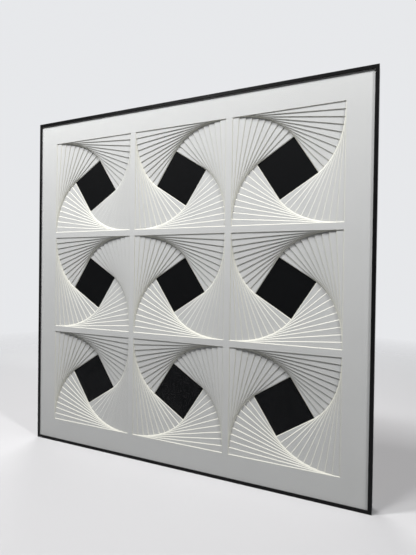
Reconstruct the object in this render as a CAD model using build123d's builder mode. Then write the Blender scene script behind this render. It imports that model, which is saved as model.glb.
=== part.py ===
from build123d import *
from math import atan2, cos, degrees, hypot, radians, sin, tan
import os

# Paper relief wall art: bevel-cut white boards stacked behind glazing in a slim black
# aluminium section frame.
# The front looks along -Y and +Z is up. The origin is the centre of the frame's back, on
# the wall. Heights are measured from the wall towards the viewer, so height h is y = -h.

# The stack of boards
board_size = 900.0
board_margin = 60.0
board_thickness = 1.4
board_count = 11
grid_count = 3
opening_gap = 15.0
whirl_step = 15.6
bevel_angle = 45.0

# The other sheets
glazing_thickness = 1.5
card_thickness = 1.0
backing_thickness = 3.0
sheet_clearance = 0.5

# The frame's section
face_width = 8.0
face_thickness = 1.2
face_round = 0.6
wall_thickness = 1.5
shelf_thickness = 1.5
channel_width = 9.3
channel_depth = 3.9
channel_wall = 1.2
channel_lip_reach = 2.0
channel_lip_thickness = 1.2
spring_space = 4.0

# The corner plates and their set screws
plate_clearance = 0.2
plate_leg = 42.0
angle_thickness = 2.0
shim_thickness = 1.0
set_screw_radius = 2.0
set_screw_reach = 26.0
set_screw_proud = 0.4
thread_clearance = 0.05
slot_width = 0.8
slot_depth = 0.9

# The spring clips
clip_length = 60.0
clip_width = 14.0
clip_thickness = 0.6
clip_flat = 9.0
clip_foot = 7.0
clip_bend_radius = 40.0
clip_inset = 232.0

# The hangers and what holds them
hanger_gap = 6.3
hanger_width = 20.0
hanger_thickness = 2.0
hanger_drop = 15.0
eye_radius = 4.5
eye_round = 10.0
nut_length = 14.0
nut_thickness = 2.4
hanger_screw_radius = 2.0
hanger_screw_clearance = 0.2
hanger_screw_tail = 0.8
head_crown_radius = 2.9
head_height = 2.0
head_taper = 25.0

# The pads that keep the frame off the wall
bumper_radius = 4.9
bumper_thickness = 5.0
bumper_taper = 10.0
bumper_inset = 60.0

# Sizes that follow from those above
opening_size = (board_size - 2 * board_margin - (grid_count - 1) * opening_gap) / grid_count
opening_pitch = opening_size + opening_gap
outer_size = board_size + 2 * (sheet_clearance + wall_thickness)
channel_outer = wall_thickness + channel_width + channel_wall
channel_middle = wall_thickness + channel_width / 2

# Heights above the wall, from the back to the front
rail_back = bumper_thickness
lip_front = rail_back + channel_lip_thickness
shelf_back = lip_front + channel_depth
shelf_front = shelf_back + shelf_thickness
backing_back = shelf_front + spring_space
card_back = backing_back + backing_thickness
stack_back = card_back + card_thickness
stack_front = stack_back + board_count * board_thickness
glazing_front = stack_front + glazing_thickness
rail_front = glazing_front + face_thickness

os.makedirs("parts", exist_ok=True)


def save(piece, name):
    """Label one finished piece and write it to its own file."""
    piece.part.label = name
    export_step(piece.part, f"parts/{name}.step")


def side_frame(angle):
    """The way outwards and the way along the rail, for the side at this angle."""
    outward = Vector(cos(radians(angle)), 0, sin(radians(angle)))
    along = Vector(-sin(radians(angle)), 0, cos(radians(angle)))
    return outward, along


def bar(start, end, low, high):
    """A rectangle between two distances from the side and two heights above the wall."""
    with Locations(((start + end) / 2, (low + high) / 2)):
        Rectangle(end - start, high - low)


# Frame rails: one extruded section, mitred at both ends. The section's X runs inwards
# from the outer side, and its Y is the height above the wall.
sides = {"right": 0, "top": 90, "left": 180, "bottom": 270}
for side, angle in sides.items():
    outward, along = side_frame(angle)
    section_plane = Plane(origin=outward * outer_size / 2, x_dir=-outward, z_dir=along)
    with BuildPart() as rail:
        with BuildSketch(section_plane):
            bar(0, wall_thickness, rail_back, rail_front)
            bar(0, face_width, glazing_front, rail_front)
            bar(0, channel_outer, shelf_back, shelf_front)
            bar(channel_outer - channel_wall, channel_outer, rail_back, shelf_front)
            bar(0, wall_thickness + channel_lip_reach, rail_back, lip_front)
            bar(channel_outer - channel_wall - channel_lip_reach, channel_outer, rail_back,
                lip_front)
            front_corners = vertices().group_by(Axis.Y)[-1]
            fillet(front_corners, radius=face_round)
        extrude(amount=outer_size / 2, both=True)
        for mitre_turn in (135, -135):
            outside, _ = side_frame(angle + mitre_turn)
            split(bisect_by=Plane(origin=(0, 0, 0), z_dir=outside), keep=Keep.BOTTOM)
    save(rail, f"frame_rail_{side}")


# Glazing, black card and backing board: plain sheets of the boards' size
sheets = {
    "glazing": (stack_front, glazing_thickness),
    "black_card": (card_back, card_thickness),
    "backing_board": (backing_back, backing_thickness),
}
for sheet_name, (sheet_back, sheet_thickness) in sheets.items():
    with BuildPart() as sheet:
        with BuildSketch(Plane.XZ.offset(sheet_back)):
            Rectangle(board_size, board_size)
        extrude(amount=sheet_thickness)
    save(sheet, sheet_name)


# White boards: the openings of each board are squares whose corners lie on the sides of
# the openings in front, one step along. So each square is a little smaller than the one in
# front and a little further turned. Neighbouring openings turn opposite ways. The edges
# are cut at a slant, so an opening is narrower at the board's back.
opening_side = opening_size
opening_turn = 0.0
bevel_width = board_thickness * tan(radians(bevel_angle))
for number in range(1, board_count + 1):
    board_back = stack_front - number * board_thickness
    with BuildPart() as board:
        with BuildSketch(Plane.XZ.offset(board_back)):
            Rectangle(board_size, board_size)
        extrude(amount=board_thickness)
        with BuildSketch(Plane.XZ.offset(board_back)):
            for row in range(grid_count):
                for column in range(grid_count):
                    turn = opening_turn if (row + column) % 2 else -opening_turn
                    across = (column - (grid_count - 1) / 2) * opening_pitch
                    up = ((grid_count - 1) / 2 - row) * opening_pitch
                    back_side = opening_side - 2 * bevel_width
                    with Locations((across, up)):
                        Rectangle(back_side, back_side, rotation=turn)
        extrude(amount=board_thickness, taper=-bevel_angle, mode=Mode.SUBTRACT)
    save(board, f"board_{number:02d}")
    opening_turn += degrees(atan2(whirl_step, opening_side - whirl_step))
    opening_side = hypot(opening_side - whirl_step, whirl_step)


# Corner plates: in each corner of the channel lie a plain shim on the shelf and a threaded
# angle plate under the lips. Two set screws in the angle press on the shim, and so draw
# both rails tight.
plate_corner = outer_size / 2 - wall_thickness - plate_clearance
plate_width = channel_width - 2 * plate_clearance
screw_spots = [
    (plate_corner - set_screw_reach, plate_corner - plate_width / 2),
    (plate_corner - plate_width / 2, plate_corner - set_screw_reach),
]
corners = {"top_right": 0, "top_left": 90, "bottom_left": 180, "bottom_right": 270}
corner_planes = {}
for corner, angle in corners.items():
    outward, _ = side_frame(angle)
    corner_planes[corner] = Plane(origin=(0, 0, 0), x_dir=outward, z_dir=(0, -1, 0))


def corner_outline():
    """The L-shaped outline of a corner plate, in its corner's own plane."""
    with Locations((plate_corner, plate_corner)):
        Rectangle(plate_leg, plate_width, align=(Align.MAX, Align.MAX))
        Rectangle(plate_width, plate_leg, align=(Align.MAX, Align.MAX))


for corner, corner_plane in corner_planes.items():
    with BuildPart() as corner_angle:
        with BuildSketch(corner_plane.offset(lip_front)):
            corner_outline()
            with Locations(*screw_spots):
                Circle(set_screw_radius + thread_clearance, mode=Mode.SUBTRACT)
        extrude(amount=angle_thickness)
    save(corner_angle, f"corner_angle_{corner}")

    with BuildPart() as corner_shim:
        with BuildSketch(corner_plane.offset(shelf_back)):
            corner_outline()
        extrude(amount=-shim_thickness)
    save(corner_shim, f"corner_shim_{corner}")

screw_front = shelf_back - shim_thickness
screw_back = lip_front - set_screw_proud
with BuildPart() as corner_screws:
    for corner_plane in corner_planes.values():
        with BuildSketch(corner_plane.offset(screw_back)):
            with Locations(*screw_spots):
                Circle(set_screw_radius)
        extrude(amount=screw_front - screw_back)
        with BuildSketch(corner_plane.offset(screw_back)):
            with Locations(*screw_spots):
                Rectangle(2 * set_screw_radius, slot_width)
        extrude(amount=slot_depth, mode=Mode.SUBTRACT)
save(corner_screws, "corner_screws")


# Spring clips: bowed strips that press the sheets forward. The middle of each bears on the
# shelf and its two feet on the backing board.
clip_edge = wall_thickness + sheet_clearance
clip_reach = outer_size / 2 - clip_inset
bow_height = shelf_front + clip_thickness / 2
foot_height = backing_back - clip_thickness / 2
clip_line = [
    (-clip_length / 2, foot_height),
    (-clip_length / 2 + clip_foot, foot_height),
    (-clip_flat / 2, bow_height),
    (clip_flat / 2, bow_height),
    (clip_length / 2 - clip_foot, foot_height),
    (clip_length / 2, foot_height),
]
for side, angle in sides.items():
    outward, along = side_frame(angle)
    for clip_number, place in ((1, -clip_reach), (2, clip_reach)):
        clip_origin = outward * (outer_size / 2 - clip_edge) + along * place
        with BuildPart() as clip:
            with BuildSketch(Plane(origin=clip_origin, x_dir=along, z_dir=outward)):
                with BuildLine():
                    FilletPolyline(*clip_line, radius=clip_bend_radius)
                trace(line_width=clip_thickness)
            extrude(amount=-clip_width)
        save(clip, f"spring_clip_{side}_{clip_number}")


# Hangers: flat plates on the back of the top rail, each with an eye that hangs below the
# channel. A nut in the channel and a screw through the slot hold each plate. The nuts lie
# clear of the corner plates' legs.
hanger_reach = plate_corner - plate_leg - hanger_gap - nut_length / 2
hanger_top = outer_size / 2 - wall_thickness
slot_level = outer_size / 2 - channel_middle
eye_level = outer_size / 2 - channel_outer - hanger_drop
hanger_back = rail_back - hanger_thickness
hanger_places = {"left": -hanger_reach, "right": hanger_reach}
for side, across in hanger_places.items():
    with BuildPart() as hanger:
        with BuildSketch(Plane.XZ.offset(hanger_back)):
            with Locations((across, (hanger_top + eye_level) / 2)):
                Rectangle(hanger_width, hanger_top - eye_level)
            with Locations((across, eye_level)):
                Circle(eye_round)
                Circle(eye_radius, mode=Mode.SUBTRACT)
            with Locations((across, slot_level)):
                Circle(hanger_screw_radius + hanger_screw_clearance, mode=Mode.SUBTRACT)
        extrude(amount=hanger_thickness)
    save(hanger, f"hanger_{side}")

hanger_spots = [(across, slot_level) for across in hanger_places.values()]
with BuildPart() as hanger_nuts:
    with BuildSketch(Plane.XZ.offset(lip_front)):
        with Locations(*hanger_spots):
            Rectangle(nut_length, plate_width)
            Circle(hanger_screw_radius + thread_clearance, mode=Mode.SUBTRACT)
    extrude(amount=nut_thickness)
save(hanger_nuts, "hanger_nuts")

head_back = hanger_back - head_height
with BuildPart() as hanger_screws:
    with BuildSketch(Plane.XZ.offset(hanger_back)):
        with Locations(*hanger_spots):
            Circle(hanger_screw_radius)
    extrude(amount=lip_front + nut_thickness + hanger_screw_tail - hanger_back)
    with BuildSketch(Plane.XZ.offset(head_back)):
        with Locations(*hanger_spots):
            Circle(head_crown_radius)
    extrude(amount=head_height, taper=-head_taper)
    with BuildSketch(Plane.XZ.offset(head_back)):
        with Locations(*hanger_spots):
            Rectangle(2 * (head_crown_radius + head_height), slot_width)
    extrude(amount=slot_depth, mode=Mode.SUBTRACT)
save(hanger_screws, "hanger_screws")


# Wall bumpers: tapered round pads on the bottom rail's channel lips, near the corners
bumper_level = -(outer_size / 2 - channel_outer / 2)
bumper_reach = outer_size / 2 - bumper_inset
for side, across in (("left", -bumper_reach), ("right", bumper_reach)):
    with BuildPart() as bumper:
        with BuildSketch(Plane.XZ):
            with Locations((across, bumper_level)):
                Circle(bumper_radius)
        extrude(amount=bumper_thickness, taper=-bumper_taper)
    save(bumper, f"wall_bumper_{side}")
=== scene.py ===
# %% [markdown]
# # A framed paper relief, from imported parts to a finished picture
#
# The object is a square stack of eleven white mount boards behind clear glazing, held by a
# slim black aluminium frame. Nine wells of square openings step down through the stack.
# The rigid pieces come ready made and in place. This script gives every one of them its
# finish, models the pane and the two bumper pads as surfaces, and sets up light and camera.
# All lengths are in metres, the picture faces -Y, and +Z is up.

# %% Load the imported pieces
import math

import bpy
import numpy as np
from mathutils import Matrix, Vector


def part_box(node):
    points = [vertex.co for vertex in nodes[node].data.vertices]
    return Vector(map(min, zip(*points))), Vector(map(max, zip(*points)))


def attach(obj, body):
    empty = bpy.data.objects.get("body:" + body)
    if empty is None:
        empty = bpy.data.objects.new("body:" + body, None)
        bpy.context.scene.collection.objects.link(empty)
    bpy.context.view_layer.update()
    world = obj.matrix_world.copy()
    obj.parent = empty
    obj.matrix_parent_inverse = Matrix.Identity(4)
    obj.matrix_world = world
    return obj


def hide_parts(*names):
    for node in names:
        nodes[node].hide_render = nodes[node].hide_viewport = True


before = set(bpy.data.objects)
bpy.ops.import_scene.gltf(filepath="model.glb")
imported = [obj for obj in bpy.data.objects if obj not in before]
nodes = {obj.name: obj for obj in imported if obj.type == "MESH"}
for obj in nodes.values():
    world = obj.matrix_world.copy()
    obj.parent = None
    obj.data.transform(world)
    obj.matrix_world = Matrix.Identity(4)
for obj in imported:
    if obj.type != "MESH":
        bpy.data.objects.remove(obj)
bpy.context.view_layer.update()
print("pieces in the frame:", len(nodes))

# %% [markdown]
# ## A small kit for materials
#
# Each finish below is a node tree around one Principled shader. A few moves come back in
# all of them: reading the place on the piece in metres, making noise at a real grain size,
# spreading that noise over a range, mixing, and bending the normal by a small height. They
# are written once here, so that each finish reads as a short list of what the real surface
# does.


# %% Start a finish and make its noise
def start_finish(name, colour, roughness):
    """A new material with one Principled shader. Returns the tree, the shader and the
    socket that gives the place on the piece in metres."""
    material = bpy.data.materials.new(name)
    material.use_nodes = True
    tree = material.node_tree
    shader = tree.nodes["Principled BSDF"]
    shader.inputs["Base Color"].default_value = (*colour, 1.0)
    shader.inputs["Roughness"].default_value = roughness
    place = tree.nodes.new("ShaderNodeTexCoord").outputs["Object"]
    return material, tree, shader, place


def grain(tree, place, size, detail=4.0, stretch=(1.0, 1.0, 1.0)):
    """Noise whose features are about `size` metres across. A stretch above 1 lengthens
    the features along that axis. Returns a value around 0.5."""
    mapping = tree.nodes.new("ShaderNodeMapping")
    mapping.inputs["Scale"].default_value = [1.0 / s for s in stretch]
    noise = tree.nodes.new("ShaderNodeTexNoise")
    noise.inputs["Scale"].default_value = 1.0 / size
    noise.inputs["Detail"].default_value = detail
    tree.links.new(place, mapping.inputs["Vector"])
    tree.links.new(mapping.outputs["Vector"], noise.inputs["Vector"])
    return noise.outputs["Fac"]


# %% Work with values and colours
def plug(tree, value, socket):
    """Links a socket to an input, or sets the input to a number or a colour of three."""
    if isinstance(value, bpy.types.NodeSocket):
        tree.links.new(value, socket)
    elif socket.type == "RGBA":
        socket.default_value = (*value, 1.0)
    else:
        socket.default_value = value


def arithmetic(tree, operation, *values):
    """The result of one Math node. Each value is a number or a socket."""
    node = tree.nodes.new("ShaderNodeMath")
    node.operation = operation
    for value, socket in zip(values, node.inputs):
        plug(tree, value, socket)
    return node.outputs["Value"]


def between(tree, value, low, high, from_low=0.3, from_high=0.7):
    """Maps a value from one range to another, held at the ends. The range it comes from
    is that of the noise unless another is given."""
    spread = tree.nodes.new("ShaderNodeMapRange")
    spread.inputs["From Min"].default_value = from_low
    spread.inputs["From Max"].default_value = from_high
    spread.inputs["To Min"].default_value = low
    spread.inputs["To Max"].default_value = high
    tree.links.new(value, spread.inputs["Value"])
    return spread.outputs["Result"]


def blend_colours(tree, factor, first, second):
    """A colour that goes from the first to the second as the factor goes from 0 to 1.
    Either may be three numbers or a socket."""
    mix = tree.nodes.new("ShaderNodeMix")
    mix.data_type = "RGBA"
    for value, name in ((factor, "Factor"), (first, "A"), (second, "B")):
        plug(tree, value, mix.inputs[name])
    return mix.outputs["Result"]


# %% Emboss, mix shaders and dress pieces
def emboss(tree, shader, height, depth, strength):
    """Bends the shader's normal by a height whose full range is `depth` metres."""
    bump = tree.nodes.new("ShaderNodeBump")
    bump.inputs["Distance"].default_value = depth
    bump.inputs["Strength"].default_value = strength
    tree.links.new(height, bump.inputs["Height"])
    tree.links.new(bump.outputs["Normal"], shader.inputs["Normal"])


def mix_shaders(tree, factor, first, second):
    """A shader that goes from the first to the second as the factor goes from 0 to 1."""
    mix = tree.nodes.new("ShaderNodeMixShader")
    for source, socket in zip((factor, first, second), mix.inputs):
        tree.links.new(source, socket)
    return mix.outputs["Shader"]


def dress(material, *names):
    """Gives carried-over pieces their material."""
    for name in names:
        slots = nodes[name].data.materials
        slots.clear()
        slots.append(material)


# %% [markdown]
# ## White mount board
#
# Mount board is a sheet of white paper on a thick core. Where the knife runs at a slant,
# the cut shows the core, which is a little creamier than the face and full of fine fibre.
# Two materials would do, one for the faces and one for the cuts, but the meshes would have
# to be sorted first. One material needs no sorting: the true normal of a face points along
# Y, while that of a slanted cut is turned by 45 degrees, so the Y part of the normal says
# which is which. The face has a faint cloudiness and a fine tooth, and each board of the
# stack has its own slight tone, as sheets from one pack do.

# %% The boards' colours and grain
face_white = (0.850, 0.857, 0.858)
core_cream = (0.890, 0.880, 0.800)
paper_roughness = 0.9
paper_gloss = 0.25
cut_slope, face_slope = 0.80, 0.95
paper_cloud, cloud_depth = 0.06, 0.018
fibre_size, fibre_depth = 0.0006, 0.05
fibre_stretch = (1.0, 4.0, 1.0)
tooth_size, tooth_height = 0.0009, 0.00004


# %% The boards' finish
def shade(colour, share):
    """A colour at a share of its brightness, white at the most."""
    return [min(1.0, c * share) for c in colour]


def board_finish(number, tone):
    """White face paper and cream core, as one material for one board."""
    name = f"mount_board_{number:02d}"
    material, tree, shader, place = start_finish(name, face_white, paper_roughness)
    geometry = tree.nodes.new("ShaderNodeNewGeometry")
    split = tree.nodes.new("ShaderNodeSeparateXYZ")
    tree.links.new(geometry.outputs["True Normal"], split.inputs["Vector"])
    slope = arithmetic(tree, "ABSOLUTE", split.outputs["Y"])
    is_cut = between(tree, slope, 1.0, 0.0, cut_slope, face_slope)

    cloud = between(tree, grain(tree, place, paper_cloud), 0.0, 1.0)
    pale, dusky = shade(face_white, tone), shade(face_white, tone * (1.0 - cloud_depth))
    face = blend_colours(tree, cloud, dusky, pale)
    fibre = between(tree, grain(tree, place, fibre_size, stretch=fibre_stretch), 0.0, 1.0)
    core = blend_colours(tree, fibre, shade(core_cream, 1.0 - fibre_depth), core_cream)
    tree.links.new(blend_colours(tree, is_cut, face, core), shader.inputs["Base Color"])

    tooth = grain(tree, place, tooth_size, detail=8.0)
    emboss(tree, shader, tooth, depth=tooth_height, strength=0.6)
    shader.inputs["Specular IOR Level"].default_value = paper_gloss
    return material


# %% Dress the boards
board_names = sorted(name for name in nodes if name.startswith("board_"))
board_random = np.random.default_rng(7)
tone_low, tone_high = -0.010, 0.004
board_tones = 1.0 + board_random.uniform(tone_low, tone_high, len(board_names))
for number, (name, tone) in enumerate(zip(board_names, board_tones), start=1):
    dress(board_finish(number, tone), name)
print("boards dressed:", len(board_names), "tones", board_tones.round(3))

# %% [markdown]
# ## Black card
#
# The wells end on a black sheet. A flat black would look like a hole in the picture, and
# real black card isn't quite black: it scatters about half a percent of the light, and its
# tooth shows as a faint grey grain when light rakes across it. So its colour drifts between
# two blacks, and its normal is bent by the same fine tooth as the paper's.

# %% The card's finish
card_black = (0.0030, 0.0034, 0.0042)
card_grey = (0.0050, 0.0055, 0.0066)
card_roughness = 0.75
card_gloss = 0.12
card_speckle = 0.0012
card_tooth_height = 0.00002
card, tree, shader, place = start_finish("black_card", card_black, card_roughness)
speckle = between(tree, grain(tree, place, card_speckle, detail=8.0), 0.0, 1.0)
tree.links.new(blend_colours(tree, speckle, card_black, card_grey), shader.inputs["Base Color"])
emboss(tree, shader, grain(tree, place, tooth_size), depth=card_tooth_height, strength=0.3)
shader.inputs["Specular IOR Level"].default_value = card_gloss
dress(card, "black_card")
print("black card dressed, speckle", card_speckle)

# %% [markdown]
# ## Black anodised aluminium
#
# The rails are pressed through a die, so every fine line on them runs lengthways, and the
# anodised skin is a satin black that still mirrors the light softly. An anisotropic shader
# could give that sheen, but it needs a direction on every face. Noise that is stretched a
# few hundred times along the rail needs none, and it shows as fine lines up close as well.
# Two of the rails run along X and two along Z, so each pair has a material with its own
# stretch, and the mitre shows as a change of sheen, as it does on a real frame.

# %% The rails' finish
anodised_black = (0.0035, 0.0035, 0.004)
anodised_worn = (0.0075, 0.0075, 0.008)
rail_satin, rail_dull = 0.28, 0.42
rail_gloss = 0.30
rail_cloud = 0.03
die_line, die_line_stretch, die_line_height = 0.0004, 400.0, 0.00001


def rail_finish(name, stretch):
    """Satin black with die lines along the stretched axis."""
    material, tree, shader, place = start_finish(name, anodised_black, rail_satin)
    die_lines = grain(tree, place, die_line, detail=3.0, stretch=stretch)
    wear = between(tree, grain(tree, place, rail_cloud), 0.0, 1.0)
    colour = blend_colours(tree, wear, anodised_black, anodised_worn)
    tree.links.new(colour, shader.inputs["Base Color"])
    roughness = between(tree, die_lines, rail_satin, rail_dull)
    tree.links.new(roughness, shader.inputs["Roughness"])
    emboss(tree, shader, die_lines, depth=die_line_height, strength=0.5)
    shader.inputs["Specular IOR Level"].default_value = rail_gloss
    return material


# %% Dress the rails
along_x = rail_finish("anodised_black_level", (die_line_stretch, 1.0, 1.0))
along_z = rail_finish("anodised_black_upright", (1.0, 1.0, die_line_stretch))
dress(along_x, "frame_rail_top", "frame_rail_bottom")
dress(along_z, "frame_rail_left", "frame_rail_right")
rail_names = [name for name in nodes if name.startswith("frame_rail_")]
print("rails dressed:", len(rail_names))

# %% [markdown]
# ## Edges that catch light
#
# No metal edge is perfectly sharp, and its bright hairline is what tells the eye that two
# faces meet. The edges could be cut into each mesh, but a Bevel modifier rounds them all by
# a tenth of a millimetre or so and leaves the ready-made meshes alone. Those meshes come as
# loose triangles, in which no two faces share an edge, so a Weld modifier joins them first.

# %% Soft edges for the rails
weld_reach = 0.00001
edge_steps = 2
sharp_from = math.radians(40.0)
rail_edge = 0.00015


def soften_edges(width, *names):
    """Rounds the edges of carried-over pieces where the faces turn more than sharp_from."""
    for name in names:
        weld = nodes[name].modifiers.new("joined_triangles", "WELD")
        weld.merge_threshold = weld_reach
        bevel = nodes[name].modifiers.new("soft_edges", "BEVEL")
        bevel.width = width
        bevel.segments = edge_steps
        bevel.limit_method = "ANGLE"
        bevel.angle_limit = sharp_from
        bevel.harden_normals = True


soften_edges(rail_edge, *rail_names)
print("rail edges rounded by", rail_edge)

# %% [markdown]
# ## Clear glazing
#
# The pane is a clear sheet with its sharp edges ground off. It rests on the front board,
# and two surfaces in one plane would fight in the picture, so the pane is made anew as a
# surface of its own, a hair thinner at the back. Its outline is a ring of four corners
# that is repeated at four depths: front face, end of the front grind, start of the back
# grind and back face.


# %% Put a new piece in the scene
def add_piece(name, points, faces):
    """A new object at the origin, with a mesh of these points and faces."""
    mesh = bpy.data.meshes.new(name)
    mesh.from_pydata(points.tolist(), [], faces)
    piece = bpy.data.objects.new(name, mesh)
    bpy.context.scene.collection.objects.link(piece)
    return piece


# %% A sheet with ground edges
corner_signs = np.array([(-1, -1), (1, -1), (1, 1), (-1, 1)])


def ground_sheet(name, low, high, grind):
    """A sheet from corner `low` to corner `high`, thin along Y. Ring k of four has its
    corners at (x0 + g_k, y_k, z0 + g_k) and so on, where g is the grind on the two faces
    and 0 between them. The faces are the two end rings and the bands between rings."""
    depths = np.array([low[1], low[1] + grind, high[1] - grind, high[1]])
    insets = np.array([grind, 0.0, 0.0, grind])
    middle = np.array([(low[0] + high[0]) / 2, (low[2] + high[2]) / 2])
    half = np.array([(high[0] - low[0]) / 2, (high[2] - low[2]) / 2])
    flat = middle + corner_signs * (half - insets[:, None, None])
    across = np.broadcast_to(depths[:, None, None], (4, 4, 1))
    points = np.concatenate([flat[..., :1], across, flat[..., 1:]], axis=-1).reshape(-1, 3)
    corner = np.arange(4)
    after = (corner + 1) % 4
    bands = [np.stack([k + corner, k + 4 + corner, k + 4 + after, k + after], -1)
             for k in (0, 4, 8)]
    faces = [[0, 1, 2, 3], [15, 14, 13, 12]] + np.concatenate(bands).tolist()
    return add_piece(name, points, faces)


# %% The pane
pane_grind = 0.0004
pane_relief = 0.00006
low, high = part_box("glazing")
pane = ground_sheet("glazing_pane", low, (high.x, high.y - pane_relief, high.z), pane_grind)
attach(pane, "root")
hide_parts("glazing")
print("pane made:", [round(b - a, 4) for a, b in zip(low, high)])

# %% [markdown]
# ## What a thin pane does to light
#
# A sheet this thin hardly shifts what lies behind it. A glass shader would bend every ray
# twice for that shift, and would shade the boards, because the light of the lamps doesn't
# pass through it directly. So here light goes straight through, and only a share of it is
# mirrored. The share grows as the view gets more slanting, and it counts twice, for the
# front and the back of the pane. It is given to the side where light enters, so that no ray
# pays it again on its way out.

# %% The pane's finish
pane_index = 1.16
pane_tint = (0.992, 0.994, 0.992)
mirror_white = (1.0, 1.0, 1.0)
mirror_roughness = 0.015
pane_faces = 2.0
glass, tree, mirror, place = start_finish("picture_glass", mirror_white, mirror_roughness)
mirror.inputs["Metallic"].default_value = 1.0
glance = tree.nodes.new("ShaderNodeFresnel")
glance.inputs["IOR"].default_value = pane_index
facing = tree.nodes.new("ShaderNodeNewGeometry")
entering = arithmetic(tree, "SUBTRACT", 1.0, facing.outputs["Backfacing"])
both_faces = arithmetic(tree, "MULTIPLY", glance.outputs["Fac"], pane_faces)
mirrored = arithmetic(tree, "MULTIPLY", both_faces, entering)
mirrored.node.use_clamp = True
through = tree.nodes.new("ShaderNodeBsdfTransparent")
through.inputs["Color"].default_value = (*pane_tint, 1.0)
clear = mix_shaders(tree, mirrored, through.outputs["BSDF"], mirror.outputs["BSDF"])
tree.links.new(clear, tree.nodes["Material Output"].inputs["Surface"])
pane.data.materials.append(glass)
print("pane dressed, index", pane_index)

# %% [markdown]
# ## Hardboard back
#
# The back is hardboard, pressed from wood fibre. Its rough side keeps the print of the wire
# screen it was pressed on: a fine square weave of dimples. Modelled one by one they would
# number well over a hundred thousand, so two crossed bands of waves bend the normal instead.
# Noise at two sizes gives the brown fibre its flecks and its clouds.

# %% The print of the screen
screen_pitch, screen_depth, screen_wobble = 0.0022, 0.0002, 0.4
wave_radians = 20.0


def screen_waves(tree, place, direction):
    """Bands of waves along one axis, one to each pitch of the screen. At a scale of 1,
    Blender's waves turn through wave_radians in a metre."""
    waves = tree.nodes.new("ShaderNodeTexWave")
    waves.wave_type = "BANDS"
    waves.bands_direction = direction
    waves.inputs["Scale"].default_value = 2 * math.pi / (screen_pitch * wave_radians)
    waves.inputs["Distortion"].default_value = screen_wobble
    tree.links.new(place, waves.inputs["Vector"])
    return waves.outputs["Fac"]


# %% The backing board's finish
fibre_dark = (0.155, 0.088, 0.046)
fibre_light = (0.300, 0.185, 0.100)
fibre_deep = (0.1, 0.06, 0.03)
hardboard_roughness = 0.8
fleck_size, fleck_from, fleck_to = 0.004, 0.35, 0.65
hardboard_cloud, cloud_least = 0.12, 0.75
backing, tree, shader, place = start_finish("hardboard", fibre_light, hardboard_roughness)
fibres = grain(tree, place, fleck_size, detail=10.0)
flecks = between(tree, fibres, 0.0, 1.0, fleck_from, fleck_to)
clouds = between(tree, grain(tree, place, hardboard_cloud), cloud_least, 1.0)
fleck_colour = blend_colours(tree, flecks, fibre_dark, fibre_light)
brown = blend_colours(tree, clouds, fibre_deep, fleck_colour)
tree.links.new(brown, shader.inputs["Base Color"])
across_x, across_z = (screen_waves(tree, place, direction) for direction in ("X", "Z"))
dimples = arithmetic(tree, "MULTIPLY", across_x, across_z)
emboss(tree, shader, dimples, depth=screen_depth, strength=0.8)
dress(backing, "backing_board")
print("hardboard dressed, screen pitch", screen_pitch)

# %% [markdown]
# ## Plated and blued steel
#
# The corner plates, hangers, nuts and screws are zinc plated: a cool bright grey, cloudy
# from the bath. The spring clips are hardened strip, blued by heat and oiled. Both are full
# metals, so their colour tints what they mirror, and roughness does most of the work. They
# differ only in their colours, roughness and cloud size, so one function makes both.

# %% The metals' colours and grain
zinc_bright, zinc_dull = (0.66, 0.67, 0.69), (0.50, 0.51, 0.53)
zinc_roughness = (0.28, 0.45)
zinc_cloud = 0.006
blue_steel, brown_steel = (0.17, 0.19, 0.24), (0.24, 0.20, 0.18)
steel_roughness = (0.25, 0.38)
steel_cloud = 0.010
pits_in_cloud, pit_depth = 12, 0.00002


# %% The hardware's finishes
def metal_finish(name, first, second, roughness, cloud_size):
    """A full metal that drifts between two colours and two roughnesses, finely pitted."""
    material, tree, shader, place = start_finish(name, first, roughness[0])
    shader.inputs["Metallic"].default_value = 1.0
    cloud = grain(tree, place, cloud_size, detail=6.0)
    drift = between(tree, cloud, 0.0, 1.0)
    tree.links.new(blend_colours(tree, drift, first, second), shader.inputs["Base Color"])
    tree.links.new(between(tree, cloud, *roughness), shader.inputs["Roughness"])
    pits = grain(tree, place, cloud_size / pits_in_cloud)
    emboss(tree, shader, pits, depth=pit_depth, strength=0.4)
    return material


# %% Dress the hardware
hardware_edge = 0.00012
zinc = metal_finish("zinc_plate", zinc_bright, zinc_dull, zinc_roughness, zinc_cloud)
spring = metal_finish(
    "blued_spring_steel", blue_steel, brown_steel, steel_roughness, steel_cloud
)
zinc_names = [name for name in nodes if name.startswith(("corner_", "hanger_"))]
clip_names = [name for name in nodes if name.startswith("spring_clip_")]
dress(zinc, *zinc_names)
dress(spring, *clip_names)
soften_edges(hardware_edge, *zinc_names, *clip_names)
print("zinc pieces:", len(zinc_names), "spring clips:", len(clip_names))

# %% [markdown]
# ## Rubber bumpers
#
# Each bumper is a moulded pad with a soft edge and a slightly sunken face. A cylinder with
# a bevelled rim comes close, but one profile gives the foot, the tapered flank, the edge
# and the dish together. So the plain solid is replaced by a turned surface: the profile of
# radius and height goes round the pad's own axis, and point (u, v) lies at the profile's
# radius at v, turned by u. The first and last points of the profile lie on the axis, which
# closes the surface.


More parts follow.
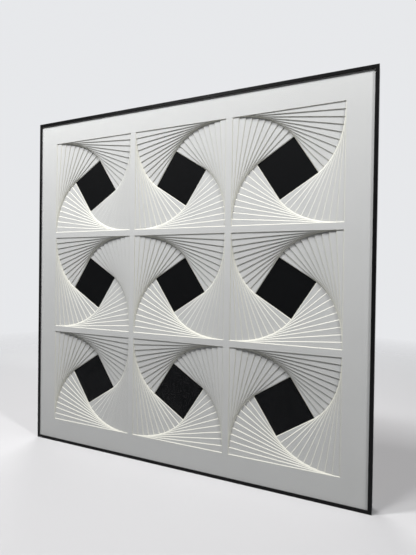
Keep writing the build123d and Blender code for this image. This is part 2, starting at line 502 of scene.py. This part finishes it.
# %% A turned surface
def turned_surface(name, profile, centre, steps=64):
    """A surface of revolution about an axis along Y through the centre. Row i, column j
    of the grid is (x, y, z) = centre + (r_i cos a_j, y_i, r_i sin a_j), with a_j = 2 pi j
    / steps. The two end rows are single points on the axis."""
    radii, heights = np.array(profile).T
    angles = np.linspace(0.0, 2 * math.pi, steps, endpoint=False)
    rings = len(radii) - 2
    x = centre[0] + np.outer(radii[1:-1], np.cos(angles))
    y = centre[1] + np.repeat(heights[1:-1], steps).reshape(rings, steps)
    z = centre[2] + np.outer(radii[1:-1], np.sin(angles))
    grid = np.stack([x, y, z], axis=-1).reshape(-1, 3)
    poles = np.array([(centre[0], centre[1] + heights[i], centre[2]) for i in (0, -1)])

    j = np.arange(steps)
    after = (j + 1) % steps
    rows = np.arange(rings - 1)[:, None] * steps
    quads = np.stack([rows + j, rows + after, rows + steps + after, rows + steps + j], -1)
    first_pole, last_pole = len(grid), len(grid) + 1
    low_fan = np.stack([np.full(steps, first_pole), after, j], -1)
    top = (rings - 1) * steps
    high_fan = np.stack([np.full(steps, last_pole), top + j, top + after], -1)
    faces = quads.reshape(-1, 4).tolist() + low_fan.tolist() + high_fan.tolist()
    piece = add_piece(name, np.vstack([grid, poles]), faces)
    piece.data.shade_smooth()
    return piece


# %% The pads' profile
pad_round = 0.0012
pad_dish, dish_rows = 0.0003, (0.75, 0.5, 0.25, 0.0)
pad_foot_inset, pad_foot_height = 0.02, 0.0002
pad_face_share = 0.86


def pad_profile(base_radius, thickness, steps=10):
    """Radius and height from the middle of the stuck side, round the tapered flank and
    its rounded edge, to the middle of the dished face."""
    foot = [(0.0, 0.0), (base_radius * (1 - pad_foot_inset), 0.0)]
    foot.append((base_radius, pad_foot_height))
    face_radius = base_radius * pad_face_share
    flank_end = face_radius + (base_radius - face_radius) * pad_round / thickness
    rim = flank_end - pad_round
    rounded = [
        (rim + pad_round * math.cos(a), thickness - pad_round * (1 - math.sin(a)))
        for a in np.linspace(0.0, math.pi / 2, steps)
    ]
    dish = [(rim * s, thickness - pad_dish * (1 - s ** 2)) for s in dish_rows]
    return foot + rounded + dish


# %% The pads and their rubber
rubber_grey = (0.022, 0.022, 0.024)
rubber_bloom = (0.035, 0.034, 0.034)
rubber_roughness = 0.6
bloom_size = 0.003
rubber_grain, rubber_grain_height = 0.0005, 0.00003
rubber, tree, shader, place = start_finish("bumper_rubber", rubber_grey, rubber_roughness)
bloom = between(tree, grain(tree, place, bloom_size), 0.0, 1.0)
rubber_colour = blend_colours(tree, bloom, rubber_grey, rubber_bloom)
tree.links.new(rubber_colour, shader.inputs["Base Color"])
rubber_skin = grain(tree, place, rubber_grain)
emboss(tree, shader, rubber_skin, depth=rubber_grain_height, strength=0.5)
for side in ("left", "right"):
    name = f"wall_bumper_{side}"
    low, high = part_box(name)
    thickness = high.y - low.y
    centre = ((low.x + high.x) / 2, low.y, (low.z + high.z) / 2)
    profile = pad_profile((high.x - low.x) / 2, thickness)
    pad = turned_surface(f"bumper_pad_{side}", profile, centre)
    pad.data.materials.append(rubber)
    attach(pad, "root")
    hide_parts(name)
print("bumper pads made, thickness", round(thickness, 4))

# %% [markdown]
# ## Floor and background
#
# The picture stands clear on a plain pale floor. A curved studio backdrop would hide the
# horizon, but it would stand in the way of the views from behind. So the floor is flat and
# fades out with distance into the pale surroundings, and it keeps the soft shadow of the
# frame. It is much darker in a mirror, so that the glazing keeps the wells black, and
# darker still for scattered light, so that it doesn't light the boards from below. The
# Light Path node says which kind of ray has met it.

# %% The floor's surface
floor_reach = 3.5
floor_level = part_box("frame_rail_bottom")[0].z
floor_points = np.column_stack([corner_signs * floor_reach, np.full(4, floor_level)])
floor = add_piece("floor", floor_points, [(0, 1, 2, 3)])
print("floor level", round(floor_level, 4))


# %% Tell the rays apart
def seen_directly(tree):
    """1 for a ray that shows the surface to the viewer, straight on, mirrored or through
    glass, and 0 for scattered light."""
    rays = tree.nodes.new("ShaderNodeLightPath")
    seen = rays.outputs["Is Camera Ray"]
    for kind in ("Is Glossy Ray", "Is Transmission Ray"):
        seen = arithmetic(tree, "MAXIMUM", seen, rays.outputs[kind])
    return seen


def in_mirror(tree):
    """1 for a ray that comes from a mirror, and 0 for any other."""
    return tree.nodes.new("ShaderNodeLightPath").outputs["Is Glossy Ray"]


# %% The floor's finish
floor_colour = (0.56, 0.56, 0.57)
floor_mirrored = (0.20, 0.20, 0.21)
floor_bounce = (0.12, 0.12, 0.12)
floor_roughness = 0.9
fade_start, fade_end = 0.8, 2.6
floor_paint, tree, shader, place = start_finish("pale_floor", floor_colour, floor_roughness)
floor_view = blend_colours(tree, seen_directly(tree), floor_bounce, floor_colour)
floor_view = blend_colours(tree, in_mirror(tree), floor_view, floor_mirrored)
tree.links.new(floor_view, shader.inputs["Base Color"])
distance = tree.nodes.new("ShaderNodeVectorMath")
distance.operation = "LENGTH"
tree.links.new(place, distance.inputs[0])
fade = between(tree, distance.outputs["Value"], 0.0, 1.0, fade_start, fade_end)
away = tree.nodes.new("ShaderNodeBsdfTransparent")
fading = mix_shaders(tree, fade, shader.outputs["BSDF"], away.outputs["BSDF"])
tree.links.new(fading, tree.nodes["Material Output"].inputs["Surface"])
floor.data.materials.append(floor_paint)
print("floor fades from", fade_start, "to", fade_end)

# %% [markdown]
# ## Light
#
# The relief lives from light that rakes down its face. One lamp alone would favour the
# slants that face its own side, so three share the work: they stand high in front, to the
# left, in the middle and to the right. They make the lower slants of every opening bright
# and leave the upper ones dark, with a narrow shadow on the board below. How high and how
# near the boards a lamp stands sets how steeply it rakes, and so how wide its shadows are.
# One large soft lamp behind lights the back.

# %% The lamps' places and powers
lamp_aim = Vector((0.0, 0.0, -0.05))
lamp_white = (1.0, 0.992, 0.990)
front_size, back_size = 0.26, 1.60
lamps = {
    "ceiling_lamp_left": (Vector((-1.00, -1.00, 2.00)), front_size, 45.0),
    "ceiling_lamp_middle": (Vector((0.00, -0.70, 2.00)), front_size, 21.0),
    "ceiling_lamp_right": (Vector((2.15, -0.92, 1.80)), front_size, 39.0),
    "back_lamp": (Vector((-1.2, 1.8, 1.6)), back_size, 44.0),
}


def soft_lamp(name, place, aim, size, power):
    """A square lamp at a place, turned towards a point."""
    data = bpy.data.lights.new(name, "AREA")
    data.shape = "SQUARE"
    data.size = size
    data.energy = power
    data.color = lamp_white
    lamp = bpy.data.objects.new(name, data)
    lamp.location = place
    lamp.rotation_euler = (aim - place).to_track_quat("-Z", "Y").to_euler()
    bpy.context.scene.collection.objects.link(lamp)


# %% Set up the lamps
for name, (place, size, power) in lamps.items():
    soft_lamp(name, place, lamp_aim, size, power)
    rake = math.degrees(math.atan2(place.z - lamp_aim.z, abs(place.y)))
    print(name, "power", power, "rakes at", round(rake, 1), "degrees")

# %% [markdown]
# ## Surroundings
#
# Pale surroundings fill in the rest of the light. They are dimmer as a light than as a
# background, which the Light Path node keeps apart. In a mirror, the side that the picture
# faces is dark and the side behind it pale, so that the glazing stays clear and metal at
# the back still has something bright to show.

# %% The world
background_pale = (0.80, 0.81, 0.83)
mirrored_dark = (0.030, 0.032, 0.036)
dark_until, pale_from = -0.25, 0.35
surround_light = 0.080
world = bpy.data.worlds.new("surroundings")
bpy.context.scene.world = world
world.use_nodes = True
tree = world.node_tree
tree.nodes.clear()
direction = tree.nodes.new("ShaderNodeTexCoord").outputs["Generated"]
split = tree.nodes.new("ShaderNodeSeparateXYZ")
tree.links.new(direction, split.inputs["Vector"])
behind = between(tree, split.outputs["Y"], 0.0, 1.0, dark_until, pale_from)
mirror_view = blend_colours(tree, behind, mirrored_dark, background_pale)
view = blend_colours(tree, in_mirror(tree), background_pale, mirror_view)
seen = tree.nodes.new("ShaderNodeBackground")
tree.links.new(view, seen.inputs["Color"])
lit = tree.nodes.new("ShaderNodeBackground")
lit.inputs["Color"].default_value = (*background_pale, 1.0)
lit.inputs["Strength"].default_value = surround_light
backgrounds = lit.outputs["Background"], seen.outputs["Background"]
surroundings = mix_shaders(tree, seen_directly(tree), *backgrounds)
world_output = tree.nodes.new("ShaderNodeOutputWorld")
tree.links.new(surroundings, world_output.inputs["Surface"])
bpy.context.scene.view_settings.view_transform = "Standard"
print("surroundings light at", surround_light)

# %% [markdown]
# ## Camera
#
# The viewer stands a little to the right of the picture and less than a metre away, and
# looks back across it with a wide lens, held almost level. A constraint could aim the camera
# at a point, but it would leave no roll. So the camera's matrix is built from the direction
# of its look, and is then rolled a touch about it.

# %% The viewer's camera
camera_place = Vector((0.4755, -0.9155, 0.0317))
camera_azimuth, camera_tilt, camera_roll = 23.98, -0.67, 0.77
lens_length, sensor_width = 26.37, 36.0
near_limit = 0.01
azimuth, tilt, roll = np.radians([camera_azimuth, camera_tilt, camera_roll]).tolist()
forward = Vector((-math.sin(azimuth) * math.cos(tilt),
                  math.cos(azimuth) * math.cos(tilt), math.sin(tilt)))
level_right = forward.cross(Vector((0, 0, 1))).normalized()
level_up = level_right.cross(forward)
right = level_right * math.cos(roll) + level_up * math.sin(roll)
up = right.cross(forward)
turn = Matrix((right, up, -forward)).transposed().to_4x4()
camera_data = bpy.data.cameras.new("viewer")
camera_data.lens = lens_length
camera_data.sensor_width = sensor_width
camera_data.clip_start = near_limit
camera = bpy.data.objects.new("viewer", camera_data)
camera.matrix_world = Matrix.Translation(camera_place) @ turn
bpy.context.scene.collection.objects.link(camera)
bpy.context.scene.camera = camera
print("camera at", [round(c, 3) for c in camera_place], "lens", lens_length)
